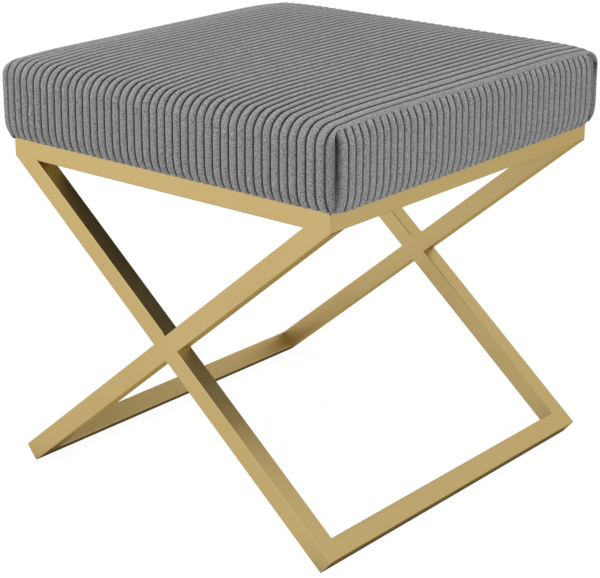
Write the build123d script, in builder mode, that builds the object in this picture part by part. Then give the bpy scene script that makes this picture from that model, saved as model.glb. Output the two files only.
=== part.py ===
from build123d import *
import os
from math import atan2, cos, hypot, radians, sin, sqrt

# Upholstered stool: a seat covered in thick-ribbed corduroy on a welded frame of square steel tube.
# Two leg frames, each a front leg, a floor rail and a rear leg in one slanted plane, cross under the seat.
# Millimetres, +Z up. The floor is at Z = 0 and the origin lies under the middle of the seat.
# X runs across the stool, in the plane of the crossed legs, and Y runs from the front to the rear.

# Frame
tube_side = 20.0
tube_wall = 1.2
tube_edge_radius = 1.0
frame_width = 410.0
frame_depth = 424.0
apron_underside = 334.0
foot_spacing = 391.0
foot_land = 0.6

# Corner plates and the hardware that holds the seat
plate_thickness = 3.0
plate_edge = 2.5
plate_snip = 5.0
bolt_inset = 22.0
bolt_diameter = 6.0
bolt_across_flats = 10.0
bolt_head_height = 4.0
bolt_tip_depth = 2.0
washer_diameter = 12.0
washer_thickness = 1.6
nut_barrel_diameter = 8.0
nut_barrel_end_gap = 1.5
nut_flange_diameter = 19.0
nut_flange_thickness = 1.5
hole_clearance = 0.4

# Seat, over the crests of the ribs
seat_side_overhang = 10.0
seat_end_overhang = 11.5
seat_thickness = 81.4
shoulder_radius = 300.0
shoulder_turn = 9.5
seam_inset = 12.0
fold_radius = 3.0
fold_steps = 3
edge_steps = 3
flap_clearance = 5.0

# Corduroy, padding and board
rib_pitch = 10.0
rib_height = 1.8
rib_flank = 2.4
cloth_thickness = 1.0
edge_rib_width = 10.0
edge_rib_radius = 8.0
edge_rib_start = 80.0
lip_slant = 2.0
seam_gap = 1.0
panel_lean_height = 20.0
panel_lean_turn = 28.0
lean_steps = 2
wadding_thickness = 5.0
fit = 0.3
board_thickness = 12.0
board_margin = 1.0
board_corner_radius = 10.0
dust_cover_thickness = 0.6

# Frame values that follow from these
half_width = frame_width / 2
half_depth = frame_depth / 2
half_tube = tube_side / 2
tube_bore = tube_side - 2 * tube_wall
apron_top = apron_underside + tube_side
leg_run = half_width + foot_spacing / 2
leg_rise = apron_underside + foot_land
leg_angle = atan2(leg_rise, leg_run)
leg_top_width = tube_side / sin(leg_angle)
leg_stock_length = hypot(leg_run, leg_rise) + leg_top_width + 2 * tube_side
crossing_half_length = half_tube * (1 + abs(cos(2 * leg_angle))) / sin(2 * leg_angle)
bolt_x = half_width - tube_side - bolt_inset
bolt_y = half_depth - tube_side - bolt_inset
plate_leg = 2 * bolt_inset + sqrt(2) * (washer_diameter / 2 + plate_edge)
plate_underside = apron_top - plate_thickness
bolt_head_top = plate_underside - washer_thickness

# Seat values that follow from these
half_seat_width = half_width + seat_side_overhang
half_seat_depth = half_depth + seat_end_overhang
seat_width = 2 * half_seat_width
cover_thickness = rib_height + cloth_thickness
fold_outer_radius = seam_inset + fold_radius
seat_underside = apron_top + dust_cover_thickness
seat_top = seat_underside + seat_thickness
shoulder_angle = radians(shoulder_turn)
shoulder_width = shoulder_radius * sin(shoulder_angle)
shoulder_drop = shoulder_radius * (1 - cos(shoulder_angle))
edge_width = fold_outer_radius * (1 - sin(shoulder_angle))
edge_height = fold_outer_radius * cos(shoulder_angle)
half_flat_top = half_seat_depth - edge_width - shoulder_width
side_top = seat_top - shoulder_drop - edge_height
side_bottom = seat_underside + fold_outer_radius
fold_reach_x = half_seat_width - fold_outer_radius
fold_reach_y = half_seat_depth - fold_outer_radius
flap_start = bolt_y + bolt_diameter / 2 + flap_clearance
flap_notch = bolt_x + bolt_diameter / 2 + flap_clearance
groove_reach = half_seat_width - edge_rib_width
padding_reach = groove_reach - lip_slant - fit
board_bottom = seat_underside + cover_thickness
board_top = board_bottom + board_thickness
half_board_width = fold_reach_x - board_margin
half_board_depth = fold_reach_y - board_margin
half_dust_width = half_width - half_tube
half_dust_depth = half_depth - half_tube
wadding_inset = cover_thickness + fit
foam_inset = wadding_inset + wadding_thickness + fit
panel_inset = seam_inset + seam_gap
half_panel_depth = half_seat_depth - panel_inset
panel_lean_start = seat_top - panel_inset - panel_lean_height
panel_lean_radius = panel_lean_height / sin(radians(panel_lean_turn))
nut_barrel_length = board_thickness - nut_flange_thickness - nut_barrel_end_gap
bolt_length = board_top - bolt_tip_depth - bolt_head_top

os.makedirs("parts", exist_ok=True)


def leg_up(side):
    """Direction up the legs of the frame that stands on the left (-1) or right (1) floor rail."""
    return Vector(-side * cos(leg_angle), 0, sin(leg_angle))


def leg_normal(side):
    """Direction across these legs, away from the edge that they stand on."""
    return Vector(side * sin(leg_angle), 0, cos(leg_angle))


def foot_edge(side):
    """Middle of the sharp lower edge of a floor rail, before the standing land is ground on it."""
    return Vector(side * foot_spacing / 2, 0, -foot_land)


def foot_corner(side, end):
    """Where the centre lines of a leg and its floor rail meet, at the front (-1) or the rear (1)."""
    across = Vector(0, end * (half_depth - half_tube), 0)
    return foot_edge(side) + across + (leg_up(side) + leg_normal(side)) * half_tube


def square_tube(start, length, flush_zones=()):
    """Tube along the normal of its start plane; its edges are filled square where it is welded flush."""
    with BuildPart() as tube:
        with BuildSketch(start):
            RectangleRounded(tube_side, tube_side, tube_edge_radius)
        extrude(amount=length)
        for zone_start, zone_length in flush_zones:
            with BuildSketch(start.offset(zone_start)):
                Rectangle(tube_side, tube_side)
            extrude(amount=zone_length)
        with BuildSketch(start):
            Rectangle(tube_bore, tube_bore)
        extrude(amount=length, mode=Mode.SUBTRACT)
    return tube.part


# Apron: front and rear rails, square-edged over the tops of the legs, mitred at the corners
for label, end in (("front_rail", -1), ("rear_rail", 1)):
    start = Plane(
        origin=(-half_width, end * (half_depth - half_tube), apron_underside + half_tube),
        x_dir=(0, 1, 0),
        z_dir=(1, 0, 0),
    )
    leg_zones = ((0, leg_top_width), (frame_width - leg_top_width, leg_top_width))
    stock = square_tube(start, frame_width, leg_zones)
    with BuildPart() as rail:
        add(stock)
        for side in (-1, 1):
            corner = (side * half_width, end * half_depth, apron_underside)
            split(bisect_by=Plane(origin=corner, z_dir=(-side, end, 0)), keep=Keep.TOP)
    rail.part.label = label
    export_step(rail.part, f"parts/{label}.step")

# Apron: side rails between them
for label, side in (("left_rail", -1), ("right_rail", 1)):
    start = Plane(
        origin=(side * (half_width - half_tube), -half_depth, apron_underside + half_tube),
        x_dir=(1, 0, 0),
        z_dir=(0, 1, 0),
    )
    stock = square_tube(start, frame_depth)
    with BuildPart() as rail:
        add(stock)
        for end in (-1, 1):
            corner = (side * half_width, end * half_depth, apron_underside)
            split(bisect_by=Plane(origin=corner, z_dir=(side, -end, 0)), keep=Keep.TOP)
    rail.part.label = label
    export_step(rail.part, f"parts/{label}.step")


def leg_stock(side, end, flush_zones=()):
    """Leg cut level under the apron, mitred to its floor rail and ground level at the floor."""
    up = leg_up(side)
    corner = foot_corner(side, end)
    start = Plane(origin=corner - up * tube_side, x_dir=(0, 1, 0), z_dir=up)
    stock = square_tube(start, leg_stock_length, flush_zones)
    with BuildPart() as leg:
        add(stock)
        split(bisect_by=Plane.XY.offset(apron_underside), keep=Keep.BOTTOM)
        split(bisect_by=Plane(origin=corner, z_dir=up + Vector(0, end, 0)), keep=Keep.TOP)
        split(bisect_by=Plane.XY, keep=Keep.TOP)
    return leg.part


# Unbroken legs of the frame that stands on the right floor rail
crossing_start = foot_corner(1, -1).X / cos(leg_angle) + tube_side - crossing_half_length
for label, end in (("front_through_leg", -1), ("rear_through_leg", 1)):
    with BuildPart() as leg:
        add(leg_stock(1, end, ((crossing_start, 2 * crossing_half_length),)))
    leg.part.label = label
    export_step(leg.part, f"parts/{label}.step")

# Legs of the other frame, cut in two against the sides of the through legs
upper_face = Plane(origin=foot_edge(1) + leg_normal(1) * tube_side, z_dir=leg_normal(1))
lower_face = Plane(origin=foot_edge(1), z_dir=leg_normal(1))
for end_name, end in (("front", -1), ("rear", 1)):
    whole_leg = leg_stock(-1, end)
    with BuildPart() as upper_leg:
        add(whole_leg)
        split(bisect_by=upper_face, keep=Keep.TOP)
    upper_leg.part.label = f"{end_name}_upper_leg"
    export_step(upper_leg.part, f"parts/{end_name}_upper_leg.step")
    with BuildPart() as lower_leg:
        add(whole_leg)
        split(bisect_by=lower_face, keep=Keep.BOTTOM)
    lower_leg.part.label = f"{end_name}_lower_leg"
    export_step(lower_leg.part, f"parts/{end_name}_lower_leg.step")

# Floor rails, turned with the legs, standing on a narrow land along their lower edge
for label, side in (("left_floor_rail", -1), ("right_floor_rail", 1)):
    front_corner = foot_corner(side, -1)
    start = Plane(
        origin=(front_corner.X, -half_depth, front_corner.Z),
        x_dir=leg_up(side),
        z_dir=(0, 1, 0),
    )
    stock = square_tube(start, frame_depth)
    with BuildPart() as floor_rail:
        add(stock)
        for end in (-1, 1):
            inward = Vector(0, -end, 0) - leg_up(side)
            split(bisect_by=Plane(origin=foot_corner(side, end), z_dir=inward), keep=Keep.TOP)
        split(bisect_by=Plane.XY, keep=Keep.TOP)
    floor_rail.part.label = label
    export_step(floor_rail.part, f"parts/{label}.step")

# Plates welded into the corners of the apron, level with its top
for end_name, end in (("front", -1), ("rear", 1)):
    for side_name, side in (("left", -1), ("right", 1)):
        corner_x = side * (half_width - tube_side)
        corner_y = end * (half_depth - tube_side)
        with BuildPart() as plate:
            with BuildSketch(Plane.XY.offset(plate_underside)) as outline:
                with BuildLine():
                    Polyline(
                        (corner_x, corner_y),
                        (corner_x - side * plate_leg, corner_y),
                        (corner_x, corner_y - end * plate_leg),
                        close=True,
                    )
                make_face()
                chamfer(outline.vertices(), plate_snip)
                with Locations((side * bolt_x, end * bolt_y)):
                    Circle(bolt_diameter / 2 + hole_clearance, mode=Mode.SUBTRACT)
            extrude(amount=plate_thickness)
        plate.part.label = f"{end_name}_{side_name}_plate"
        export_step(plate.part, f"parts/{end_name}_{side_name}_plate.step")

# Plywood board, bored and counterbored from above for the threaded inserts
with BuildPart() as seat_board:
    with BuildSketch(Plane.XY.offset(board_bottom)):
        RectangleRounded(2 * half_board_width, 2 * half_board_depth, board_corner_radius)
    extrude(amount=board_thickness)
    with Locations((0, 0, board_top)):
        with GridLocations(2 * bolt_x, 2 * bolt_y, 2, 2):
            CounterBoreHole(
                nut_barrel_diameter / 2 + hole_clearance / 2,
                nut_flange_diameter / 2 + hole_clearance,
                nut_flange_thickness,
            )
seat_board.part.label = "seat_board"
export_step(seat_board.part, "parts/seat_board.step")

# Threaded inserts, their flanges level with the top of the board
with BuildPart() as t_nuts:
    with BuildSketch(Plane.XY.offset(board_top - nut_flange_thickness)):
        with GridLocations(2 * bolt_x, 2 * bolt_y, 2, 2):
            Circle(nut_flange_diameter / 2)
    extrude(amount=nut_flange_thickness)
    with BuildSketch(Plane.XY.offset(board_top - nut_flange_thickness)):
        with GridLocations(2 * bolt_x, 2 * bolt_y, 2, 2):
            Circle(nut_barrel_diameter / 2)
    extrude(amount=-nut_barrel_length)
    with BuildSketch(Plane.XY.offset(board_top)):
        with GridLocations(2 * bolt_x, 2 * bolt_y, 2, 2):
            Circle(bolt_diameter / 2)
    extrude(amount=-nut_barrel_length - nut_flange_thickness, mode=Mode.SUBTRACT)
t_nuts.part.label = "t_nuts"
export_step(t_nuts.part, "parts/t_nuts.step")

# Washers against the undersides of the plates
with BuildPart() as bolt_washers:
    with BuildSketch(Plane.XY.offset(bolt_head_top)):
        with GridLocations(2 * bolt_x, 2 * bolt_y, 2, 2):
            Circle(washer_diameter / 2)
            Circle(bolt_diameter / 2 + hole_clearance / 2, mode=Mode.SUBTRACT)
    extrude(amount=washer_thickness)
bolt_washers.part.label = "bolt_washers"
export_step(bolt_washers.part, "parts/bolt_washers.step")

# Hexagon-head bolts, driven from below
with BuildPart() as seat_bolts:
    with BuildSketch(Plane.XY.offset(bolt_head_top - bolt_head_height)):
        with GridLocations(2 * bolt_x, 2 * bolt_y, 2, 2):
            RegularPolygon(bolt_across_flats / 2, 6, major_radius=False)
    extrude(amount=bolt_head_height)
    with BuildSketch(Plane.XY.offset(bolt_head_top)):
        with GridLocations(2 * bolt_x, 2 * bolt_y, 2, 2):
            Circle(bolt_diameter / 2)
    extrude(amount=bolt_length)
seat_bolts.part.label = "seat_bolts"
export_step(seat_bolts.part, "parts/seat_bolts.step")


def turn_points(middle, radius, first_angle, last_angle, steps):
    """Points on a round turn in steps, both ends included."""
    angles = [radians(first_angle + (last_angle - first_angle) * step / steps) for step in range(steps + 1)]
    return [(middle[0] + radius * cos(angle), middle[1] + radius * sin(angle)) for angle in angles]


def seat_points(inset):
    """Side view of the seat from the front flap over the top to the rear flap, inset from the rib crests."""
    turn_radius = fold_outer_radius - inset
    front_half = [(-flap_start, seat_underside + inset)]
    front_half += turn_points((-fold_reach_y, side_bottom), turn_radius, 270, 180, fold_steps)
    front_half += turn_points((-fold_reach_y, side_top), turn_radius, 180, 90 + shoulder_turn, edge_steps)
    front_half.append((-half_flat_top, seat_top - inset))
    rear_half = [(-y, z) for y, z in reversed(front_half)]
    return front_half + rear_half


def seat_outline(inset):
    """Closed face inside that line."""
    with BuildSketch(Plane.YZ) as outline:
        with BuildLine():
            Polyline(seat_points(inset), close=True)
        make_face()
    return outline.sketch


def draw_ribs(half_span):
    """Row of ribs from -half_span to half_span, flat crests at 0, with sharp grooves between them."""
    rib_count = round(2 * half_span / rib_pitch)
    pitch = 2 * half_span / rib_count
    for index in range(rib_count):
        groove = index * pitch - half_span
        Polyline(
            (groove, -rib_height),
            (groove + rib_flank, 0),
            (groove + pitch - rib_flank, 0),
            (groove + pitch, -rib_height),
        )


# Foam on the board
with BuildPart() as foam_pad:
    extrude(seat_outline(foam_inset), amount=padding_reach, both=True)
    split(bisect_by=Plane.XY.offset(board_top), keep=Keep.TOP)
foam_pad.part.label = "foam_pad"
export_step(foam_pad.part, "parts/foam_pad.step")

# Wadding over the front, top and rear of the foam, down past the edges of the board
with BuildPart() as wadding_wrap:
    extrude(seat_outline(wadding_inset), amount=padding_reach, both=True)
    extrude(seat_outline(foam_inset - fit), amount=padding_reach, both=True, mode=Mode.SUBTRACT)
    with Locations((0, 0, seat_underside)):
        Box(
            seat_width,
            2 * (half_board_depth + fit),
            board_top - seat_underside,
            align=(Align.CENTER, Align.CENTER, Align.MIN),
            mode=Mode.SUBTRACT,
        )
wadding_wrap.part.label = "wadding_wrap"
export_step(wadding_wrap.part, "parts/wadding_wrap.step")

# Wadding behind the side panels, against the ends of the foam
for label, side in (("left_wadding", -1), ("right_wadding", 1)):
    with BuildPart() as side_wadding:
        with BuildSketch(Plane.YZ.offset(side * padding_reach)):
            with Locations((0, (side_bottom + panel_lean_start) / 2)):
                Rectangle(2 * (half_panel_depth - fit), panel_lean_start - side_bottom)
        extrude(amount=side * (half_seat_width - wadding_inset - padding_reach))
    side_wadding.part.label = label
    export_step(side_wadding.part, f"parts/{label}.step")

# Ribbed strip over the front, top and rear; its last rib on each side is a round edge that ends in the seam
with BuildPart() as cover_main:
    with BuildLine(Plane.YZ) as strip_path:
        Polyline(seat_points(0))
    strip_start = Plane(origin=(0, -flap_start, seat_underside), x_dir=(-1, 0, 0), z_dir=(0, -1, 0))
    with BuildSketch(strip_start):
        with BuildLine():
            draw_ribs(groove_reach)
            edge_middle = (half_seat_width - edge_rib_radius, -edge_rib_radius)
            edge_rib = [
                (groove_reach, -rib_height),
                *turn_points(edge_middle, edge_rib_radius, edge_rib_start, 0, edge_steps),
                (half_seat_width, lip_slant - seam_inset),
                (half_seat_width - lip_slant, -seam_inset),
                (groove_reach + lip_slant, -seam_inset),
                (groove_reach - lip_slant, -cover_thickness),
            ]
            for side in (-1, 1):
                Polyline([(side * x, height) for x, height in edge_rib])
            Line((lip_slant - groove_reach, -cover_thickness), (groove_reach - lip_slant, -cover_thickness))
        make_face()
    sweep(path=strip_path.line, transition=Transition.RIGHT)
    for side in (-1, 1):
        with Locations((side * flap_notch, 0, seat_underside)):
            Box(
                seat_width,
                2 * fold_reach_y,
                fold_outer_radius,
                align=(Align.MIN if side > 0 else Align.MAX, Align.CENTER, Align.MIN),
                mode=Mode.SUBTRACT,
            )
cover_main.part.label = "cover_main"
export_step(cover_main.part, "parts/cover_main.step")

# Space inside the seam of a side panel, open downwards for the fold under the board
with BuildPart() as panel_space:
    extrude(seat_outline(panel_inset), amount=seat_width)
    with Locations((0, 0, seat_underside)):
        Box(
            seat_width,
            2 * (fold_reach_y - fit),
            fold_outer_radius,
            align=(Align.MIN, Align.CENTER, Align.MIN),
        )

# Ribbed side panels, sewn into the strip, leaning in to the seam at the top and folded under the board
with BuildPart() as cover_right_panel:
    lean_middle = (half_seat_width - panel_lean_radius, panel_lean_start)
    with BuildLine(Plane.XZ) as panel_path:
        Polyline(
            (flap_notch + fit, seat_underside),
            *turn_points((fold_reach_x, side_bottom), fold_outer_radius, -90, 0, fold_steps),
            *turn_points(lean_middle, panel_lean_radius, 0, panel_lean_turn, lean_steps),
        )
    panel_start = Plane(
        origin=(flap_notch + fit, 0, seat_underside), x_dir=(0, -1, 0), z_dir=(1, 0, 0)
    )
    with BuildSketch(panel_start):
        with BuildLine():
            draw_ribs(half_panel_depth)
            Polyline(
                (half_panel_depth, -rib_height),
                (half_panel_depth, -cover_thickness),
                (-half_panel_depth, -cover_thickness),
                (-half_panel_depth, -rib_height),
            )
        make_face()
    sweep(path=panel_path.line, transition=Transition.RIGHT)
    add(panel_space.part, mode=Mode.INTERSECT)
cover_right_panel.part.label = "cover_right_panel"
export_step(cover_right_panel.part, "parts/cover_right_panel.step")

with BuildPart() as cover_left_panel:
    mirror(cover_right_panel.part, about=Plane.YZ)
cover_left_panel.part.label = "cover_left_panel"
export_step(cover_left_panel.part, "parts/cover_left_panel.step")

# Dust cover between the turned-in cloth and the apron, its corners cut off clear of the bolts
with BuildPart() as dust_cover:
    with BuildSketch(Plane.XY.offset(apron_top)) as sheet:
        Rectangle(2 * half_dust_width, 2 * half_dust_depth)
        chamfer(sheet.vertices(), half_dust_width + half_dust_depth + washer_diameter - bolt_x - bolt_y)
    extrude(amount=dust_cover_thickness)
dust_cover.part.label = "dust_cover"
export_step(dust_cover.part, "parts/dust_cover.step")
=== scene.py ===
import math

import bpy
import numpy as np
from mathutils import Matrix, Vector


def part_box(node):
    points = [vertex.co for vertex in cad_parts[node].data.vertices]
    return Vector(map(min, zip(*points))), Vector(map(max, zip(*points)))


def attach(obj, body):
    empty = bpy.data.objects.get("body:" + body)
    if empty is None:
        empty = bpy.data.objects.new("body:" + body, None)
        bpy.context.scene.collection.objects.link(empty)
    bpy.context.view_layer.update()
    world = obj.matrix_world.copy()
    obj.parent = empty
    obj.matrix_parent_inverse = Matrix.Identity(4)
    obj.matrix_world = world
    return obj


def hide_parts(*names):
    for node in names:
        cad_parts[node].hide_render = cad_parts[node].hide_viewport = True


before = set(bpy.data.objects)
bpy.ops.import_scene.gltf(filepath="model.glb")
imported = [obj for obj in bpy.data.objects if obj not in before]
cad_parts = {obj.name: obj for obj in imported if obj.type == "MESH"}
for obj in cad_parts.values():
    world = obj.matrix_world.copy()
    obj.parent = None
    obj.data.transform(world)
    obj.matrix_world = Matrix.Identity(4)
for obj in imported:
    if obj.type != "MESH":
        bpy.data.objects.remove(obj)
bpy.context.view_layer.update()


# Steel frame: square tube, cut, welded and dressed flush, then coated all over in satin gold.
# The solids have the tubes' true form, so they keep their meshes and only take the finish.
# The corner plates that carry the seat are welded in before the coating and share it.
def linear(hex_colour):
    """Linear colour, as a socket takes it, of an sRGB hex value."""
    parts = [int(hex_colour[place:place + 2], 16) / 255 for place in (1, 3, 5)]
    return (*[c / 12.92 if c <= 0.04045 else ((c + 0.055) / 1.055) ** 2.4 for c in parts], 1.0)


def add_node(tree, kind, settings, sockets):
    """New node with its settings; a socket takes a value or a link from another node's output."""
    node = tree.nodes.new(kind)
    for name, value in settings.items():
        setattr(node, name, value)
    for name, value in sockets.items():
        if isinstance(value, bpy.types.NodeSocket):
            tree.links.new(value, node.inputs[name])
        else:
            node.inputs[name].default_value = value
    return node


# Gold-toned metallic coat over blasted steel: an even satin, with a faint cloudiness from
# spraying some 60 mm across and a fine orange peel of about 1.6 mm that breaks up its gloss.
gold_coat = bpy.data.materials.new("gold_coat_satin")
gold_coat.use_nodes = True
tree = gold_coat.node_tree
shader = tree.nodes["Principled BSDF"]
place = add_node(tree, "ShaderNodeTexCoord", {}, {})
clouds = add_node(
    tree, "ShaderNodeTexNoise", {}, {"Vector": place.outputs["Object"], "Scale": 16.0, "Detail": 3.0}
)
gold_tone = add_node(
    tree,
    "ShaderNodeMix",
    {"data_type": "RGBA"},
    {0: clouds.outputs["Fac"], 6: linear("#BEA66F"), 7: linear("#C6B07B")},
)
tree.links.new(gold_tone.outputs[2], shader.inputs["Base Color"])
satin = add_node(
    tree,
    "ShaderNodeMapRange",
    {},
    {"Value": clouds.outputs["Fac"], "From Min": 0.3, "From Max": 0.7, "To Min": 0.38, "To Max": 0.44},
)
tree.links.new(satin.outputs["Result"], shader.inputs["Roughness"])
orange_peel = add_node(
    tree, "ShaderNodeTexNoise", {}, {"Vector": place.outputs["Object"], "Scale": 620.0, "Detail": 2.0}
)
peel_relief = add_node(
    tree,
    "ShaderNodeBump",
    {},
    {"Height": orange_peel.outputs["Fac"], "Strength": 0.06, "Distance": 0.0004},
)
tree.links.new(peel_relief.outputs["Normal"], shader.inputs["Normal"])
shader.inputs["Metallic"].default_value = 1.0
# The coat's pigment keeps it golden where a face is seen at a slant
shader.inputs["Specular Tint"].default_value = linear("#CDB884")

apron = ["front_rail", "rear_rail", "left_rail", "right_rail"]
through_legs = ["front_through_leg", "rear_through_leg"]
cut_legs = ["front_upper_leg", "front_lower_leg", "rear_upper_leg", "rear_lower_leg"]
floor_rails = ["left_floor_rail", "right_floor_rail"]
corner_plates = ["front_left_plate", "front_right_plate", "rear_left_plate", "rear_right_plate"]
for node in apron + through_legs + cut_legs + floor_rails + corner_plates:
    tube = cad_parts[node]
    tube.data.materials.clear()
    tube.data.materials.append(gold_coat)


# Seat board: 12 mm birch plywood, sawn to a rounded rectangle and bored for the inserts.
# It stays as built; only its edges and the ends of the bores could ever be seen.
birch_ply = bpy.data.materials.new("birch_plywood_sanded")
birch_ply.use_nodes = True
tree = birch_ply.node_tree
shader = tree.nodes["Principled BSDF"]
place = add_node(tree, "ShaderNodeTexCoord", {}, {})
# Grain lines about 4 mm apart run along the depth, so the pattern is drawn out twelvefold there.
along_grain = add_node(
    tree, "ShaderNodeMapping", {}, {"Vector": place.outputs["Object"], "Scale": (1.0, 0.08, 1.0)}
)
grain = add_node(
    tree, "ShaderNodeTexNoise", {}, {"Vector": along_grain.outputs["Vector"], "Scale": 250.0, "Detail": 5.0}
)
# Veneers of about 1.4 mm show as bands up the sawn edge.
veneers = add_node(
    tree,
    "ShaderNodeTexWave",
    {"bands_direction": "Z"},
    {"Vector": place.outputs["Object"], "Scale": 110.0, "Distortion": 0.4},
)
grain_tone = add_node(
    tree,
    "ShaderNodeMix",
    {"data_type": "RGBA"},
    {0: grain.outputs["Fac"], 6: linear("#C9A777"), 7: linear("#E2C79B")},
)
ply_tone = add_node(
    tree,
    "ShaderNodeMix",
    {"data_type": "RGBA", "blend_type": "MULTIPLY"},
    {0: 0.25, 6: grain_tone.outputs[2], 7: veneers.outputs["Color"]},
)
tree.links.new(ply_tone.outputs[2], shader.inputs["Base Color"])
shader.inputs["Roughness"].default_value = 0.7
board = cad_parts["seat_board"]
board.data.materials.clear()
board.data.materials.append(birch_ply)


# Inserts, washers and hexagon bolts: pressed and rolled steel, bright zinc plated.
# They hold the seat to the corner plates from below and keep their solids.
bright_zinc = bpy.data.materials.new("bright_zinc_plate")
bright_zinc.use_nodes = True
tree = bright_zinc.node_tree
shader = tree.nodes["Principled BSDF"]
place = add_node(tree, "ShaderNodeTexCoord", {}, {})
# The plating's bluish bloom changes over some 8 mm.
bloom = add_node(
    tree, "ShaderNodeTexNoise", {}, {"Vector": place.outputs["Object"], "Scale": 120.0, "Detail": 4.0}
)
zinc_tone = add_node(
    tree,
    "ShaderNodeMix",
    {"data_type": "RGBA"},
    {0: bloom.outputs["Fac"], 6: linear("#B4B7BB"), 7: linear("#D3D6D8")},
)
tree.links.new(zinc_tone.outputs[2], shader.inputs["Base Color"])
zinc_gloss = add_node(
    tree,
    "ShaderNodeMapRange",
    {},
    {"Value": bloom.outputs["Fac"], "To Min": 0.28, "To Max": 0.45},
)
tree.links.new(zinc_gloss.outputs["Result"], shader.inputs["Roughness"])
shader.inputs["Metallic"].default_value = 1.0
for node in ("t_nuts", "bolt_washers", "seat_bolts"):
    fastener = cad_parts[node]
    fastener.data.materials.clear()
    fastener.data.materials.append(bright_zinc)


# Foam pad: a block of cut polyurethane foam, glued to the board and squeezed by the cover.
# It is remeshed from its solid and pressed out a little by the cloth solver, to lose its
# machined edges; all of it stays under the wadding.
def press_out(piece, held, pressure, most):
    """Runs the cloth solver on a piece, moves no point further than `most` and keeps the result."""
    mesh = piece.data
    start = np.empty(len(mesh.vertices) * 3)
    mesh.vertices.foreach_get("co", start)
    start = start.reshape(-1, 3)
    group = piece.vertex_groups.new(name="held")
    group.add(held, 1.0, "REPLACE")
    cloth = piece.modifiers.new("press", "CLOTH")
    cloth.settings.quality = 6
    cloth.settings.mass = 0.3
    cloth.settings.tension_stiffness = 12.0
    cloth.settings.compression_stiffness = 12.0
    cloth.settings.shear_stiffness = 4.0
    cloth.settings.bending_stiffness = 0.4
    cloth.settings.use_pressure = True
    cloth.settings.uniform_pressure_force = pressure
    cloth.settings.vertex_group_mass = "held"
    cloth.settings.effector_weights.gravity = 0.0
    last_step = 20
    cloth.point_cache.frame_start = 1
    cloth.point_cache.frame_end = last_step
    for step in range(1, last_step + 1):
        bpy.context.scene.frame_set(step)
    pressed = piece.evaluated_get(bpy.context.evaluated_depsgraph_get()).to_mesh()
    end = np.empty(len(mesh.vertices) * 3)
    pressed.vertices.foreach_get("co", end)
    move = end.reshape(-1, 3) - start
    length = np.maximum(np.linalg.norm(move, axis=1, keepdims=True), 1e-9)
    move *= np.minimum(length, most) / length
    piece.modifiers.remove(cloth)
    piece.vertex_groups.remove(group)
    bpy.context.scene.frame_set(1)
    mesh.vertices.foreach_set("co", (start + move).ravel())
    mesh.update()
    return start + move


foam_voxel = 0.008
foam_swell = 0.002
foam_pressure = 1.5
foam_pad = bpy.data.objects.new("foam_pad_soft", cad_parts["foam_pad"].data.copy())
bpy.context.collection.objects.link(foam_pad)
bpy.ops.object.select_all(action="DESELECT")
foam_pad.select_set(True)
bpy.context.view_layer.objects.active = foam_pad
bpy.ops.object.mode_set(mode="EDIT")
bpy.ops.mesh.select_all(action="SELECT")
bpy.ops.mesh.remove_doubles(threshold=0.0001)
bpy.ops.object.mode_set(mode="OBJECT")
foam_pad.data.remesh_voxel_size = foam_voxel
bpy.ops.object.voxel_remesh()
board_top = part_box("seat_board")[1][2]
glued = [v.index for v in foam_pad.data.vertices if v.co.z < board_top + foam_voxel / 4]
press_out(foam_pad, glued, foam_pressure, foam_swell)
bpy.ops.object.shade_smooth()

# Open-cell foam: a dull cream with pores near 1 mm.
cream_foam = bpy.data.materials.new("polyurethane_foam")
cream_foam.use_nodes = True
tree = cream_foam.node_tree
shader = tree.nodes["Principled BSDF"]
place = add_node(tree, "ShaderNodeTexCoord", {}, {})
pores = add_node(tree, "ShaderNodeTexVoronoi", {}, {"Vector": place.outputs["Object"], "Scale": 900.0})
foam_tone = add_node(
    tree,
    "ShaderNodeMix",
    {"data_type": "RGBA"},
    {0: pores.outputs["Distance"], 6: linear("#CDBF92"), 7: linear("#EFE4BE")},
)
tree.links.new(foam_tone.outputs[2], shader.inputs["Base Color"])
pore_relief = add_node(
    tree, "ShaderNodeBump", {}, {"Height": pores.outputs["Distance"], "Strength": 0.5, "Distance": 0.0005}
)
tree.links.new(pore_relief.outputs["Normal"], shader.inputs["Normal"])
shader.inputs["Roughness"].default_value = 0.95
foam_pad.data.materials.clear()
foam_pad.data.materials.append(cream_foam)
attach(foam_pad, "root")
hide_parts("foam_pad")


# Wadding: polyester batting, one length over the front, top and rear of the foam and one pad
# at each side. The cloth solver presses it out between the lines where the cover is sewn or
# stapled, and the cover is then laid over the shape that it takes.
def between(a, b, c, d, t):
    """Smooth values at t on the way from b (0) to c (1), with a before them and d after them."""
    return b + 0.5 * t * (c - a + t * (2 * a - 5 * b + 4 * c - d + t * (3 * (b - c) + d - a)))


def smooth_run(points, count):
    """Smooth line through the points, cut into `count` steps that are shorter where it turns."""
    cuts, step_length, step_turn = 24, 14.0, 0.2
    line = np.array(points, float)
    ends = np.vstack([2 * line[0] - line[1], line, 2 * line[-1] - line[-2]])
    a, b, c, d = (ends[first:first + len(line) - 1, None] for first in range(4))
    fine = between(a, b, c, d, np.arange(0, 1, 1 / cuts)[None, :, None])
    fine = np.vstack([fine.reshape(-1, 2), line[-1:]])
    step = np.diff(fine, axis=0)
    heading = np.unwrap(np.arctan2(step[:, 1], step[:, 0]))
    turn = np.abs(np.diff(heading, append=heading[-1]))
    effort = np.concatenate([[0.0], np.cumsum(np.hypot(*step.T) / step_length + turn / step_turn)])
    stops = np.linspace(0, effort[-1], count + 1)
    return np.column_stack([np.interp(stops, effort, fine[:, axis]) for axis in (0, 1)])


def arc(middle, radius, first, last, steps):
    """Points on an arc, its angles in degrees."""
    angles = np.radians(np.linspace(first, last, steps + 1))
    return np.column_stack([middle[0] + radius * np.cos(angles), middle[1] + radius * np.sin(angles)])


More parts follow.
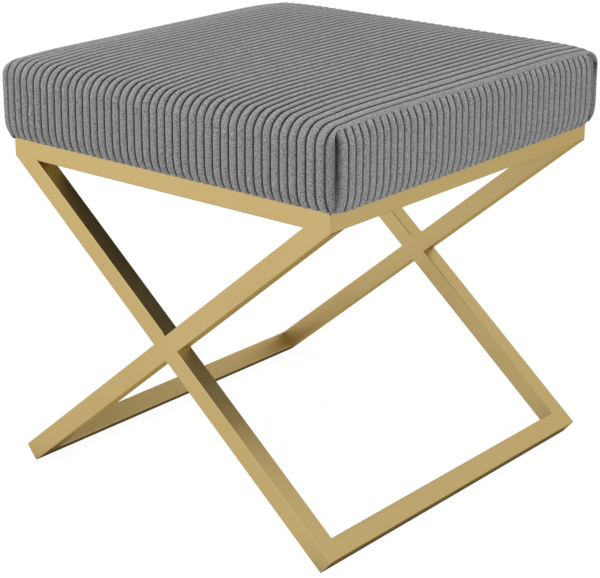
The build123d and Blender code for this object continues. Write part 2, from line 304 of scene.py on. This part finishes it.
def grid_piece(name, points, skip=None):
    """Mesh object of a grid of points in millimetres, its faces turned outwards."""
    rows, columns = points.shape[:2]
    faces = []
    for row in range(rows - 1):
        for column in range(columns - 1):
            if skip is None or not skip[row, column]:
                corner = row * columns + column
                faces.append((corner, corner + 1, corner + columns + 1, corner + columns))
    mesh = bpy.data.meshes.new(name)
    mesh.from_pydata((points.reshape(-1, 3) / 1000).tolist(), [], faces)
    piece = bpy.data.objects.new(name, mesh)
    bpy.context.collection.objects.link(piece)
    return piece


def outward(points):
    """Unit normals of a grid of points."""
    along = np.gradient(points, axis=0)
    over = np.gradient(points, axis=1)
    normal = np.cross(over, along)
    return normal / np.maximum(np.linalg.norm(normal, axis=-1, keepdims=True), 1e-9)


# Side view of the strip over the seat, front half: the flap under the board, the fold that hangs a
# little over the apron, the front and the softly rounded edge up to the level top.
strip_steps = 46
flap_run = [(-178, 354.9), (-190, 354.9), (-206, 354.9)]
fold_run = [(-212.6, 353.6), (-215.0, 353.7), (-217.3, 355.2), (-219.6, 358.2), (-221.6, 362.8)]
front_run = [(-222.8, 368.2), (-223.4, 374.5), (-223.5, 382), (-223.5, 393), (-223.5, 404)]
edge_run = arc((-201.7, 413.4), 21.8, 180, 94, 7)
top_run = [(-188, 435.5), (-160, 436.3), (-120, 436.5), (-60, 436.5), (0, 436.5)]
front_half = smooth_run(np.vstack([flap_run, fold_run, front_run, edge_run, top_run]), strip_steps)
strip_path = np.vstack([front_half, (front_half * (-1, 1))[-2::-1]])
# The rear edge lies a little lower
rear_fall = 0.8
at_rear = np.clip((strip_path[:, 0] - 140) / 60, 0, 1) * np.clip((strip_path[:, 1] - 380) / 40, 0, 1)
strip_path[:, 1] -= rear_fall * at_rear
tangent = np.gradient(strip_path, axis=0)
tangent /= np.linalg.norm(tangent, axis=1, keepdims=True)
strip_normal = np.column_stack([-tangent[:, 1], tangent[:, 0]])
on_top = np.maximum(strip_normal[:, 1], 0) ** 2
on_front = strip_normal[:, 0] ** 2
on_flap = np.maximum(-strip_normal[:, 1], 0) ** 2
at_bend = 4 * on_front * on_top
at_fold = 4 * on_front * on_flap

strip_ribs = 41
first_groove, last_groove = -203.0, 204.5
grooves = np.linspace(first_groove, last_groove, strip_ribs + 1)
crown_height, crown_reach = 2.9, 208
crown = crown_height * (1 - np.clip(np.abs(strip_path[:, 0]) / crown_reach, 0, 1) ** 6)
shoulder_drop, edge_drop, corner_drop, corner_tuck = 3.0, 0.4, 2.6, 1.0
# The left side is a little fuller, and the two corners where x times y is positive lie higher
fuller_left = 6.0
corner_lift, lifted_corner = 1.8, 42000


def past(distance, start, reach):
    """How far a distance lies past the start, as a share of the reach."""
    return np.maximum(distance - start, 0) / reach


def strip_drop(x):
    """Depth of the strip below its side view at x, row by row: a crowned top with its edges drawn down."""
    out = np.abs(x + fuller_left)
    shoulder = shoulder_drop * past(out, 110, 95) ** 3 + edge_drop * past(out, 194, 10.5) ** 2
    corner = corner_drop * past(np.abs(x), 150, 55) ** 2
    tuck_under = corner_tuck * past(np.abs(x), 180, 25) ** 2
    lift = corner_lift * np.clip(x * strip_path[:, 0] / lifted_corner, 0, 1) ** 4
    drop = on_top * (shoulder - crown) + on_front * corner + at_fold * tuck_under
    return drop - (on_top + 2 * on_front * on_top) * lift


def by_face(front, top, flap, bend=0.0):
    """Value for each row from those on the front, top and flap, and what the bend to the top adds."""
    return front * on_front + top * on_top + flap * on_flap + bend * at_bend


# The seam at the strip's edge and the bulge before it, as distance from the middle and depth
seam_x = by_face(212.0, 208.8, 208.5)
seam_depth = by_face(12.0, 7.2, 1.5, -2.0) + corner_tuck * at_fold
bulge_x = by_face(217.5, 207.0, 210.0, 2.5)
bulge_more = by_face(0.4, 2.0, 0.2, -1.0)


def edge_point(groove, t):
    """Point on the round edge from the outermost groove (t=0) to the seam (t=1), for each row."""
    side = math.copysign(1.0, groove)
    start = np.column_stack([np.full(len(strip_path), groove), strip_drop(groove)])
    bulge = np.column_stack([side * bulge_x, start[:, 1] + bulge_more])
    end = np.column_stack([side * seam_x, seam_depth])
    return (1 - t) ** 2 * start + 2 * t * (1 - t) * bulge + t * t * end


edge_steps = (0.25, 0.5, 0.75, 1.0)
columns = []
for t in reversed(edge_steps):
    columns.append(edge_point(first_groove, t))
for groove in grooves:
    columns.append(np.column_stack([np.full(len(strip_path), groove), strip_drop(groove)]))
for t in edge_steps:
    columns.append(edge_point(last_groove, t))
across = np.stack(columns, axis=1)


def strip_surface(across_depth):
    """Points in space of x and depth below the strip's middle line, row by row."""
    x, depth = across_depth[..., 0], across_depth[..., 1]
    y = strip_path[:, :1] - strip_normal[:, :1] * depth
    z = strip_path[:, 1:] - strip_normal[:, 1:] * depth
    return np.stack([x, y, z], axis=-1)


strip_target = strip_surface(across)

# The wadding starts slack in the middle of the front, top and rear, and is pressed out there.
# The foam behind it lets no point move inwards.
slack = 2.4
slack_low, slack_high = 362, 418
slack_reach_x, slack_reach_y = 216, 205
strip_pressure = 4.0
held_rows = 8
rows, width = strip_target.shape[:2]
up_front = np.clip((strip_path[:, 1] - slack_low) / (slack_high - slack_low), 0, 1)
over_top = np.clip(np.abs(strip_path[:, 0]) / slack_reach_y, 0, 1)
row_slack = on_front * np.sin(np.pi * up_front) ** 2 + on_top * (1 - over_top ** 4)
column_slack = 1 - (np.abs(across[..., 0]) / slack_reach_x) ** 6
slack_depth = slack * row_slack[:, None] * column_slack
strip_slack = strip_surface(across + np.stack([0 * slack_depth, slack_depth], axis=-1))
pressed_sheet = grid_piece("pressed_sheet", strip_slack)
strip_held = [
    row * width + column
    for row in range(rows)
    for column in range(width)
    if column in (0, width - 1) or row < held_rows or row >= rows - held_rows
]
strip_pressed = strip_target
moved = press_out(pressed_sheet, strip_held, strip_pressure, slack / 1000)
moved = moved.reshape(rows, width, 3) * 1000
out = outward(strip_slack)
swell = np.clip(((moved - strip_slack) * out).sum(axis=-1), 0, slack_depth)
strip_pressed = strip_slack + out * swell[..., None]
bpy.data.objects.remove(pressed_sheet)

# The wadding ends short of the flaps and of the outer ribs
wadding_gap, wadding_thickness = 4.2, 0.004
flap_rows, outer_ribs = 12, 7
under_cover = strip_pressed - outward(strip_pressed) * wadding_gap
wadding_points = under_cover[flap_rows:-flap_rows, outer_ribs:-outer_ribs]
wadding = grid_piece("wadding_wrap_soft", wadding_points)
wadding.data.shade_smooth()
wadding_body = wadding.modifiers.new("wadding_body", "SOLIDIFY")
wadding_body.thickness = wadding_thickness
wadding_body.offset = -1.0

# Polyester batting: white fibres, seen as a soft mottle of about 5 mm.
batting = bpy.data.materials.new("polyester_batting")
batting.use_nodes = True
tree = batting.node_tree
shader = tree.nodes["Principled BSDF"]
place = add_node(tree, "ShaderNodeTexCoord", {}, {})
fibres = add_node(
    tree, "ShaderNodeTexNoise", {}, {"Vector": place.outputs["Object"], "Scale": 200.0, "Detail": 6.0}
)
batting_tone = add_node(
    tree,
    "ShaderNodeMix",
    {"data_type": "RGBA"},
    {0: fibres.outputs["Fac"], 6: linear("#D8D8D2"), 7: linear("#F2F2EE")},
)
tree.links.new(batting_tone.outputs[2], shader.inputs["Base Color"])
shader.inputs["Roughness"].default_value = 1.0
wadding.data.materials.append(batting)
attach(wadding, "root")
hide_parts("wadding_wrap", "left_wadding", "right_wadding")


# Ribbed cover: wide-wale corduroy with a chenille pile, cut in one strip for the front, top and
# rear and two side panels, sewn face to face and stapled under the board. The strip takes the
# wadding's pressed shape, and the side panels are shaped in code between their seams.
def spread(values, at):
    """Smooth values between the columns of a grid, read at fractional column places."""
    last = values.shape[1] - 1
    base = np.clip(np.floor(at).astype(int), 0, last - 1)
    before = values[:, np.clip(base - 1, 0, last)]
    after = values[:, np.clip(base + 2, 0, last)]
    return between(before, values[:, base], values[:, base + 1], after, (at - base)[None, :, None])


rib_height = 3.0
rib_cuts = np.array([0.0, 0.04, 0.09, 0.16, 0.28, 0.5, 0.72, 0.84, 0.91, 0.96])
cover_thickness = 0.001


def rib_depth(fraction):
    """Depth of the pile surface below the crest across one rib, from groove (0) to groove (1)."""
    flank = np.abs(2 * fraction - 1)
    return rib_height * (0.42 * flank ** 2 + 0.58 * flank ** 6)


def groove_shading(fraction, clear, strength):
    """How far painted shade darkens the pile across one rib, towards its grooves; the middle part `clear`
    of it stays as it is.
    """
    flank = np.abs(2 * fraction - 1)
    return np.minimum(strength * np.clip((flank - clear) / (1 - clear), 0, 1) ** 1.2, 1)


def ribbed_sheet(name, surface, depth, groove, skip=None):
    """Ribbed sheet over a grid of crest points, with each point's depth below it and the painted shade of
    its groove.
    """
    normal = outward(surface)
    points = surface - normal * depth[..., None]
    piece = grid_piece(name, points, skip)
    shade = piece.data.attributes.new("groove", "FLOAT", "POINT")
    shade.data.foreach_set("value", groove.ravel())
    piece.data.shade_smooth()
    body = piece.modifiers.new("cloth_body", "SOLIDIFY")
    body.thickness = cover_thickness
    body.offset = -1.0
    bpy.context.view_layer.objects.active = piece
    bpy.ops.object.modifier_apply(modifier=body.name)
    return piece


def rib_columns(first, count):
    """Column places of `count` ribs that start at column `first`, and their place across the rib."""
    at = np.concatenate([first + rib + rib_cuts for rib in range(count)])
    return at, np.tile(rib_cuts, count)


# The part of a rib that stays clear and the strength of the painted shade in its groove, upright and on the
# top
upright_clear, upright_strength = 0.69, 1.14
top_clear, top_strength = 0.5, 1.6

# Strip: ribs between the grooves, and at each side the edge rib that ends in the seam
edge_cuts = np.array([0.0, 0.05, 0.12, 0.22, 0.36, 0.52, 0.68, 0.8, 0.9, 0.96, 1.0])
edge_rise = np.minimum(edge_cuts * 1.3, 0.5)
edge_columns = len(edge_steps)
last_column = edge_columns + strip_ribs
to_edge = edge_columns * edge_cuts
rib_at, rib_fraction = rib_columns(edge_columns, strip_ribs)
at = np.concatenate([(edge_columns - to_edge)[:0:-1], rib_at, last_column + to_edge])
fraction = np.concatenate([edge_rise[:0:-1], rib_fraction, edge_rise])
# Painted shade makes the seam a soft dark line up the front; it hardly shows along the top
seam_dip = 1.6
to_seam = np.clip((edge_cuts - 0.35) / 0.65, 0, 1) ** 1.7
at_seam = np.concatenate([to_seam[:0:-1], np.zeros(len(rib_at)), to_seam])
seam_pull = on_front + 0.1 * on_top
# The outermost groove is shallower than the rest
from_outermost = np.minimum(np.abs(at - edge_columns), np.abs(at - last_column))
outermost = np.clip(1 - from_outermost / 0.3, 0, 1)
shallow = 1 - 0.15 * outermost
# The ribs stand higher on the top. Its sides and the rear edge are drawn flat, which leaves fine
# grooves near the sides
flat_ribs = 7
higher_on_top, lower_at_sides, lower_at_rear = 0.25, 0.45, 0.6
drawn_flat = np.clip(1 - from_outermost / flat_ribs, 0, 1)
rear_flat = 1 - lower_at_rear * at_rear * at_bend
face_depth = rib_depth(fraction) * shallow
depth = face_depth + np.outer(on_top, face_depth * (higher_on_top - lower_at_sides * drawn_flat))
depth = rear_flat[:, None] * depth + seam_dip * np.outer(seam_pull, at_seam)
# Painted shade darkens the right flank of each rib a little
painted_flank_shade = 0.12
flank_shade_share = painted_flank_shade * np.clip((fraction - 0.45) / 0.25, 0, 1)
on_face = np.minimum(groove_shading(fraction, upright_clear, upright_strength) + flank_shade_share, 1) * shallow
# Painted shade in the top's grooves is narrower near the sides and at the outermost groove
seat_clear = top_clear + 0.2 * drawn_flat - 0.15 * outermost
on_seat = np.minimum(groove_shading(fraction, seat_clear, top_strength) + flank_shade_share, 1)
is_front = strip_path[:, 0] < 0
# Painted shade along the seam, lighter at the rear
front_seam_shade, rear_seam_shade = 0.95, 0.55
seam_shade = np.where(is_front, front_seam_shade, rear_seam_shade) * seam_pull
groove_shade = on_face + np.outer(on_top, on_seat - on_face) + np.outer(seam_shade, at_seam)
# On the front the right edge rib is turned from the light, and painted shade darkens it
turned_rib_shade = 0.25
turned_from_light = np.clip((at - last_column) / (0.3 * edge_columns), 0, 1)
groove_shade = np.minimum(groove_shade + turned_rib_shade * np.outer(is_front * on_front, turned_from_light), 1)
# The strip's flaps are cut away at the corners, where the side panels' flaps lie
flap_notch, notch_reach = 171.0, 209.0
crest = spread(strip_pressed, at)
under_board = on_flap[:-1] > 0.5
inside_apron = np.abs(strip_path[:-1, 0]) < notch_reach
notch = np.outer(under_board & inside_apron, np.abs(crest[0, :-1, 0]) > flap_notch)
cover_strip = ribbed_sheet("cover_strip", crest, depth, groove_shade, notch)

# Side panels: their ribs run up them, so each column is one line from the flap under the board, round
# the fold that hangs beside the apron, up the side and in to the seam
panel_ribs, panel_steps = 40, 44
panel_first, panel_last, panel_reach = -197.4, 204.9, 211.6
panel_side, valley_depth, end_lift = 215.3, 2.4, 3.8
panel_flap = [(171.5, 354.9), (188, 354.9), (203.6, 354.9), (205.6, 353.6)]
# The fold at the panel's foot, as distance in from its side and height
panel_fold = [(7.6, 350.9), (5.8, 351.6), (3.9, 354.6), (2.2, 359.4), (0.9, 366.0), (0.2, 373.5)]
# The arc in to the seam, with how far it comes in and up as shares of its radius
lean_angle, lean_in, lean_up, least_lean = 41.6, 0.252, 0.664, 0.6
under_seam = (3.2, 2.6)
# The seam along the top of the panel, and the one up its front edge as far as that
seam_line = strip_target[:, -1]
high_seam = seam_line[seam_line[:, 2] > 390]
upper_seam = high_seam[high_seam[:, 1].argmin():high_seam[:, 1].argmax() + 1]
up_the_front = (seam_line[:, 1] < -205) & (seam_line[:, 2] > 358)
front_seam = seam_line[up_the_front & (seam_line[:, 2] <= upper_seam[0, 2])]


def panel_column(y):
    """Line up the side panel at y, with its last point tucked under the seam."""
    top_z = np.interp(y, upper_seam[:, 1], upper_seam[:, 2])
    top_x = np.interp(y, upper_seam[:, 1], upper_seam[:, 0])
    side = panel_side - valley_depth * past(abs(y), 201, 10.6) ** 2
    lift = end_lift * past(abs(y), 194, 17.6) ** 2
    lean = max(side - top_x, least_lean) / lean_in
    over = arc((side - lean, top_z - lean_up * lean), lean, 0, lean_angle, 5)
    over += (top_x, top_z) - over[-1]
    line = smooth_run(
        np.vstack(
            [
                panel_flap,
                [(206.5, 352.0 + 0.7 * lift)],
                [(over[0, 0] - inset, z + lift * (374 - z) / 23) for inset, z in panel_fold],
                [(over[0, 0], 384), (over[0, 0], over[0, 1] - 12)],
                over,
            ]
        ),
        panel_steps,
    )
    line = np.vstack([line, line[-1] - under_seam])
    beyond = np.maximum(-np.interp(line[:, 1], front_seam[:, 2], front_seam[:, 1]) - panel_reach, 0)
    at_corner = min(past(abs(y), 203, 8.6), 1) ** 2
    return np.column_stack([line[:, 0], y + math.copysign(at_corner, y) * beyond, line[:, 1]])


at, fraction = rib_columns(0, panel_ribs)
low = rib_depth(fraction)
# Painted shade darkens the left flank of each rib on the side panels a little
panel_painted_flank_shade = 0.05
flank_shade_share = panel_painted_flank_shade * np.clip((0.5 - fraction) / 0.2, 0, 1)
shade = np.minimum(groove_shading(fraction, upright_clear, upright_strength) + flank_shade_share, 1)
# Columns between the outermost ribs and the seams, then their depth and painted shade with the tucked
# edge's; the painted shade darkens the valleys at the seams
front_y = [-panel_reach, -209.4, -206.4, -202.0, -199.2]
rear_y = [panel_last, 206.4, 208.4, panel_reach]
front_low, front_shade = [3.0, 1.6, 0.5, 0.0, 0.1, 0.9], [1.0, 0.95, 0.5, 0.1, 0.0, 0.2]
rear_low, rear_shade = [3.0, 0.8, 0.4, 1.6, 3.0], [1.0, 0.15, 0.4, 0.9, 1.0]
rib_y = panel_first + (panel_last - panel_first) * at / panel_ribs
panel_columns = [panel_column(y) for y in np.concatenate([front_y, rib_y, rear_y])]
tuck = np.array([-3.4, 2.4, 0.0])
panel_columns.insert(0, panel_columns[0] + tuck * (1, -1, 1))
panel_columns.append(panel_columns[-1] + tuck)
right_panel = np.stack(panel_columns, axis=1)
low = np.concatenate([front_low, low, rear_low])
shade = np.concatenate([front_shade, shade, rear_shade])
panel_rows = len(right_panel)
up = np.arange(panel_rows) / (panel_rows - 2)
# The ribs sink into the seam at their upper ends
to_seam = np.clip((up - 0.95) / 0.05, 0, 1)
depth = np.outer(1 - 0.45 * to_seam, low) + 0.1 * to_seam[:, None] ** 2
# Painted shade darkens the grooves more at their upper ends, under the seam
seam_end_shade = np.clip((up - 0.84) / 0.12, 0, 1)
groove_shade = np.minimum(np.outer(1 + 0.4 * seam_end_shade, shade), 1)
# The tucked edges end above the fold
tuck_end = 362
tuck_skip = np.zeros((panel_rows - 1, len(panel_columns) - 1), bool)
tuck_skip[:, [0, -1]] = (right_panel[:-1, 0, 2] < tuck_end)[:, None]
left_panel = (right_panel * (-1, 1, 1))[:, ::-1]
cover_right = ribbed_sheet("cover_side_right", right_panel, depth, groove_shade, tuck_skip)
cover_left = ribbed_sheet("cover_side_left", left_panel, depth[:, ::-1], groove_shade[:, ::-1], tuck_skip)

# Grey chenille pile: matt, with a light sheen, flecked where tufts of about 1 mm lean apart, and with
# painted shade down in the grooves.
corduroy = bpy.data.materials.new("chenille_corduroy")
corduroy.use_nodes = True
tree = corduroy.node_tree
shader = tree.nodes["Principled BSDF"]
place = add_node(tree, "ShaderNodeTexCoord", {}, {})
groove_shade_value = add_node(tree, "ShaderNodeAttribute", {"attribute_name": "groove"}, {})
tufts = add_node(
    tree,
    "ShaderNodeTexNoise",
    {},
    {"Vector": place.outputs["Object"], "Scale": 980.0, "Detail": 1.0, "Roughness": 0.6},
)
fleck_strength = add_node(
    tree,
    "ShaderNodeMapRange",
    {},
    {"Value": tufts.outputs["Fac"], "From Min": 0.36, "From Max": 0.64},
)
pile_tone = add_node(
    tree,
    "ShaderNodeMix",
    {"data_type": "RGBA"},
    {0: fleck_strength.outputs["Result"], 6: linear("#5C5C5C"), 7: linear("#A4A4A4")},
)
# Painted shade: the groove attribute mixes the pile towards near black in the grooves
groove_shaded_tone = add_node(
    tree,
    "ShaderNodeMix",
    {"data_type": "RGBA"},
    {0: groove_shade_value.outputs["Fac"], 6: pile_tone.outputs[2], 7: linear("#141414")},
)
tree.links.new(groove_shaded_tone.outputs[2], shader.inputs["Base Color"])
tuft_relief = add_node(
    tree, "ShaderNodeBump", {}, {"Height": tufts.outputs["Fac"], "Strength": 0.6, "Distance": 0.0006}
)
tree.links.new(tuft_relief.outputs["Normal"], shader.inputs["Normal"])
shader.inputs["Roughness"].default_value = 0.95
shader.inputs["Specular IOR Level"].default_value = 0.2
shader.inputs["Sheen Weight"].default_value = 0.15
for piece, node in (
    (cover_strip, "cover_main"),
    (cover_right, "cover_right_panel"),
    (cover_left, "cover_left_panel"),
):
    piece.data.materials.append(corduroy)
    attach(piece, "root")
    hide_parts(node)


# Dust cover: black spunbond sheet with its corners cut off, laid over the apron's rails and stapled
# up into the board just inside them. It is shaped in code and hangs slack in the middle.
dust_half_width, dust_half_depth, dust_corner = 195.0, 202.0, 76.0
dust_thickness = 0.0004
dust_level, dust_sag, ripple_height = 354.5, 3.2, 0.5
dust_columns, end_rows, middle_rows = 49, 10, 31
corner_y = dust_half_depth - dust_corner
dust_rows = np.concatenate(
    [
        np.linspace(-dust_half_depth, -corner_y, end_rows),
        np.linspace(-corner_y, corner_y, middle_rows)[1:-1],
        np.linspace(corner_y, dust_half_depth, end_rows),
    ]
)
half_width = np.minimum(dust_half_width, dust_half_width + corner_y - np.abs(dust_rows))
dust_x = np.outer(half_width, np.linspace(-1, 1, dust_columns))
dust_y = np.repeat(dust_rows[:, None], dust_columns, axis=1)
staple_x, staple_y = 177.0, 184.0
free = np.clip(1 - (dust_x / staple_x) ** 2, 0, 1) * np.clip(1 - (dust_y / staple_y) ** 2, 0, 1)
ripple = ripple_height * np.sin(dust_x / 17 + dust_y / 61) * np.sin(dust_y / 23 - dust_x / 71)
dust_z = dust_level - free * (dust_sag + ripple)
dust_cover = grid_piece("dust_cover_sheet", np.stack([dust_x, dust_y, dust_z], axis=-1))
dust_cover.data.shade_smooth()
dust_body = dust_cover.modifiers.new("sheet_body", "SOLIDIFY")
dust_body.thickness = dust_thickness
dust_body.offset = -1.0

# Spunbond polypropylene: matt black with a grid of bond points 1.8 mm apart, a little glossier.
spunbond = bpy.data.materials.new("black_spunbond")
spunbond.use_nodes = True
tree = spunbond.node_tree
shader = tree.nodes["Principled BSDF"]
place = add_node(tree, "ShaderNodeTexCoord", {}, {})
bond_points = add_node(
    tree, "ShaderNodeTexVoronoi", {}, {"Vector": place.outputs["Object"], "Scale": 560.0, "Randomness": 0.1}
)
bonded = add_node(
    tree,
    "ShaderNodeMapRange",
    {},
    {"Value": bond_points.outputs["Distance"], "From Min": 0.28, "From Max": 0.42},
)
spunbond_tone = add_node(
    tree,
    "ShaderNodeMix",
    {"data_type": "RGBA"},
    {0: bonded.outputs["Result"], 6: linear("#0E0E0E"), 7: linear("#232323")},
)
tree.links.new(spunbond_tone.outputs[2], shader.inputs["Base Color"])
spunbond_gloss = add_node(
    tree, "ShaderNodeMapRange", {}, {"Value": bonded.outputs["Result"], "To Min": 0.55, "To Max": 0.9}
)
tree.links.new(spunbond_gloss.outputs["Result"], shader.inputs["Roughness"])
bond_relief = add_node(
    tree, "ShaderNodeBump", {}, {"Height": bonded.outputs["Result"], "Strength": 0.5, "Distance": 0.0002}
)
tree.links.new(bond_relief.outputs["Normal"], shader.inputs["Normal"])
dust_cover.data.materials.append(spunbond)
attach(dust_cover, "root")
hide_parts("dust_cover")


# Staples: flat galvanised wire, 10 mm across the crown, driven up through the dust cover into the
# board. One is modelled from its wire's end, up to the crown and back, and copied.
wire_wide, wire_thick = 0.0012, 0.0006
staple_crown, staple_leg, wire_round = 0.010, 0.0055, 0.00012
bpy.ops.object.select_all(action="DESELECT")
bpy.ops.mesh.primitive_plane_add(size=1.0)
staple = bpy.context.object
staple.name = "staple_1"
bpy.ops.object.mode_set(mode="EDIT")
bpy.ops.mesh.select_mode(type="FACE")
bpy.ops.mesh.select_all(action="SELECT")
bpy.ops.transform.resize(value=(wire_thick, wire_wide, 1.0))
bpy.ops.mesh.extrude_region_move(TRANSFORM_OT_translate={"value": (0, 0, -staple_leg)})
bpy.ops.mesh.extrude_region_move(TRANSFORM_OT_translate={"value": (0, 0, -wire_thick)})
bpy.ops.mesh.select_all(action="SELECT")
bpy.ops.mesh.normals_make_consistent(inside=False)
bpy.ops.object.mode_set(mode="OBJECT")
for face in staple.data.polygons:
    face.select = face.normal.x > 0.9 and face.center.z < -staple_leg
bpy.ops.object.mode_set(mode="EDIT")
crown_inside = staple_crown - 2 * wire_thick
bpy.ops.mesh.extrude_region_move(TRANSFORM_OT_translate={"value": (crown_inside, 0, 0)})
bpy.ops.mesh.extrude_region_move(TRANSFORM_OT_translate={"value": (wire_thick, 0, 0)})
bpy.ops.object.mode_set(mode="OBJECT")
for face in staple.data.polygons:
    face.select = face.normal.z > 0.9 and face.center.x > crown_inside
bpy.ops.object.mode_set(mode="EDIT")
bpy.ops.mesh.extrude_region_move(TRANSFORM_OT_translate={"value": (0, 0, staple_leg)})
bpy.ops.mesh.select_all(action="SELECT")
bpy.ops.transform.translate(value=(-(staple_crown - wire_thick) / 2, 0, 0))
bpy.ops.mesh.normals_make_consistent(inside=False)
bpy.ops.mesh.bevel(offset=wire_round, segments=2)
bpy.ops.object.mode_set(mode="OBJECT")
bpy.ops.object.shade_smooth_by_angle(angle=math.radians(40))
staple.data.materials.append(bright_zinc)

crown_underside = 0.3536
leg_ends = crown_underside + staple_leg + wire_thick
staple_span, staples_a_side = 0.114, 6
side_rows = np.linspace(-staple_span, staple_span, staples_a_side)
places = [(side * staple_x / 1000, y, 90.0) for side in (-1, 1) for y in side_rows]
places += [(x, side * staple_y / 1000, 0.0) for side in (-1, 1) for x in side_rows]
wire_form = staple.data.copy()
for number, (x, y, turn) in enumerate(places, start=1):
    if number > 1:
        staple = bpy.data.objects.new("staple_" + str(number), wire_form.copy())
        bpy.context.collection.objects.link(staple)
    turned = Matrix.Rotation(math.radians(turn), 4, "Z")
    staple.data.transform(Matrix.Translation((x, y, leg_ends)) @ turned)
    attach(staple, "root")


# Studio: a floor that is white to the camera and keeps the stool's shadow, an even white surround, and
# soft lamps from the front left, the right and above. In reflections the floor takes a painted contact
# shadow close to the stool, and the lamp from the right isn't seen.
def seen_directly(tree, path):
    """1 where a ray comes from the camera, a reflection or through glass, and else 0."""
    seen = add_node(
        tree,
        "ShaderNodeMath",
        {"operation": "ADD"},
        {0: path.outputs["Is Camera Ray"], 1: path.outputs["Is Glossy Ray"]},
    )
    seen_at_all = add_node(
        tree,
        "ShaderNodeMath",
        {"operation": "ADD", "use_clamp": True},
        {0: seen.outputs[0], 1: path.outputs["Is Transmission Ray"]},
    )
    return seen_at_all.outputs[0]


bpy.ops.object.select_all(action="DESELECT")
bpy.ops.mesh.primitive_plane_add(size=12.0, location=(0, 0, 0))
studio_floor = bpy.context.object
studio_floor.name = "studio_floor"
white_sweep = bpy.data.materials.new("white_sweep")
white_sweep.use_nodes = True
tree = white_sweep.node_tree
tree.nodes.remove(tree.nodes["Principled BSDF"])
path = add_node(tree, "ShaderNodeLightPath", {}, {})
seen = seen_directly(tree, path)
lit_floor = add_node(tree, "ShaderNodeBsdfDiffuse", {}, {"Color": linear("#E8E8E8")})
# The painted contact shadow that reflections see on the floor reaches 50 mm
painted_contact_shadow = add_node(tree, "ShaderNodeAmbientOcclusion", {"samples": 8}, {"Distance": 0.05})
mirrored_tone = add_node(
    tree,
    "ShaderNodeMix",
    {"data_type": "RGBA"},
    {0: painted_contact_shadow.outputs["AO"], 6: linear("#202020"), 7: linear("#A2A2A2")},
)
floor_tone = add_node(
    tree,
    "ShaderNodeMix",
    {"data_type": "RGBA"},
    {0: path.outputs["Is Camera Ray"], 6: mirrored_tone.outputs[2], 7: linear("#505050")},
)
shadow_floor = add_node(tree, "ShaderNodeBsdfDiffuse", {}, {"Color": floor_tone.outputs[2]})
# The glow seen in reflections fades with the same painted contact shadow
mirrored_glow = add_node(
    tree, "ShaderNodeMath", {"operation": "MULTIPLY"}, {0: painted_contact_shadow.outputs["AO"], 1: 0.6}
)
glow_level = add_node(
    tree,
    "ShaderNodeMapRange",
    {},
    {"Value": path.outputs["Is Camera Ray"], "To Min": mirrored_glow.outputs[0], "To Max": 0.95},
)
glow = add_node(tree, "ShaderNodeEmission", {}, {"Strength": glow_level.outputs["Result"]})
shown_floor = add_node(tree, "ShaderNodeAddShader", {}, {0: shadow_floor.outputs[0], 1: glow.outputs[0]})
floor_mix = add_node(
    tree,
    "ShaderNodeMixShader",
    {},
    {0: seen, 1: lit_floor.outputs[0], 2: shown_floor.outputs[0]},
)
tree.links.new(floor_mix.outputs[0], tree.nodes["Material Output"].inputs["Surface"])
studio_floor.data.materials.append(white_sweep)

world = bpy.data.worlds.new("white_surround")
bpy.context.scene.world = world
world.use_nodes = True
tree = world.node_tree
surround = tree.nodes["Background"]
path = add_node(tree, "ShaderNodeLightPath", {}, {})
seen = seen_directly(tree, path)
level = add_node(tree, "ShaderNodeMapRange", {}, {"Value": seen, "To Min": 0.68, "To Max": 1.0})
surround.inputs["Color"].default_value = (1, 1, 1, 1)
tree.links.new(level.outputs["Result"], surround.inputs["Strength"])

aim = Vector((0, 0, 0.25))


def add_lamp(name, spot, size, energy):
    """Square lamp at a spot, turned to the middle of the stool."""
    bpy.ops.object.light_add(type="AREA", location=spot)
    lamp = bpy.context.object
    lamp.name = name
    lamp.data.size = size
    lamp.data.energy = energy
    lamp.rotation_euler = (aim - Vector(spot)).to_track_quat("-Z", "Y").to_euler()
    return lamp


add_lamp("key_softbox", (-1.9, -2.3, 0.8), size=1.8, energy=12.2)
fill = add_lamp("fill_panel", (2.5, -1.5, 1.7), size=3.2, energy=40.0)
fill.visible_glossy = False
add_lamp("top_softbox", (-0.3, -0.5, 2.7), size=1.2, energy=25.5)

# Camera: fitted to the photograph's frame of 600 by 578 pixels
camera_data = bpy.data.cameras.new("camera")
camera = bpy.data.objects.new("camera", camera_data)
bpy.context.collection.objects.link(camera)
azimuth, elevation = math.radians(39.859), math.radians(17.173)
back = Vector(
    (math.sin(azimuth) * math.cos(elevation), -math.cos(azimuth) * math.cos(elevation), math.sin(elevation))
)
camera.location = (1.1611, -1.3982, 0.8239)
camera.rotation_mode = "QUATERNION"
camera.rotation_quaternion = (-back).to_track_quat("-Z", "Y")
camera_data.sensor_width = 36.0
camera_data.lens = 109.39
camera_data.shift_y = -0.125
bpy.context.scene.camera = camera
bpy.context.scene.view_settings.view_transform = "Standard"
